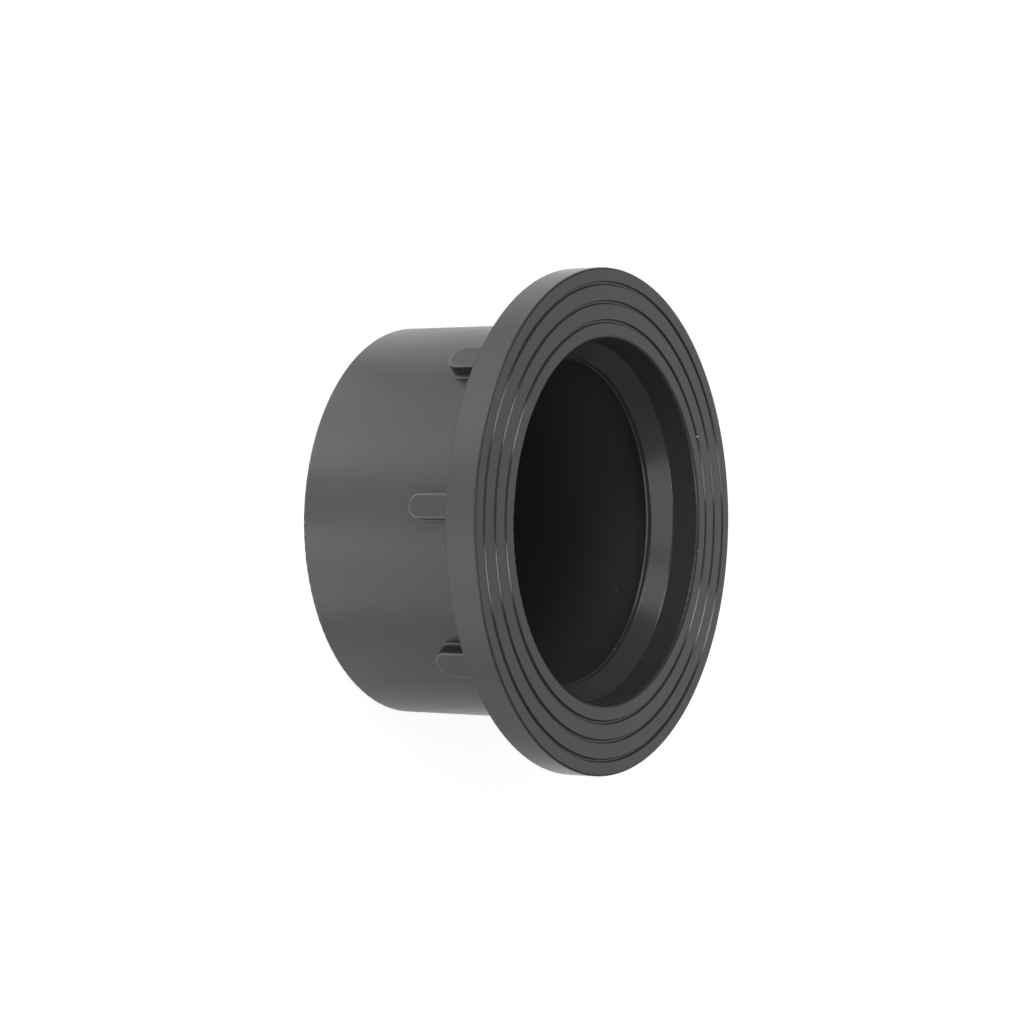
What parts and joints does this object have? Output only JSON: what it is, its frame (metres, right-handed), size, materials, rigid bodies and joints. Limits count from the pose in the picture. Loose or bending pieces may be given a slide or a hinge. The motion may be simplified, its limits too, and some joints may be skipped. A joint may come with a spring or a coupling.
{
  "type": "lap joint stub end",
  "caption": "Moulded stub end for a loose backing ring: a hub with a pipe socket, centring ribs on its outside, and a collar with a grooved gasket face.",
  "frame": {"origin": "centre of the hub's end face, at the mouth of the pipe socket, where the part stands", "axes": "+Z along the pipe's axis from the hub's end to the gasket face, +X through the middle of a rib"},
  "size_m": [0.158, 0.158, 0.0732],
  "materials": {
    "grey_pvc": "satin, as moulded"
  },
  "bodies": {
    "root": {"stub_end": "grey_pvc"}
  },
  "joints": []
}
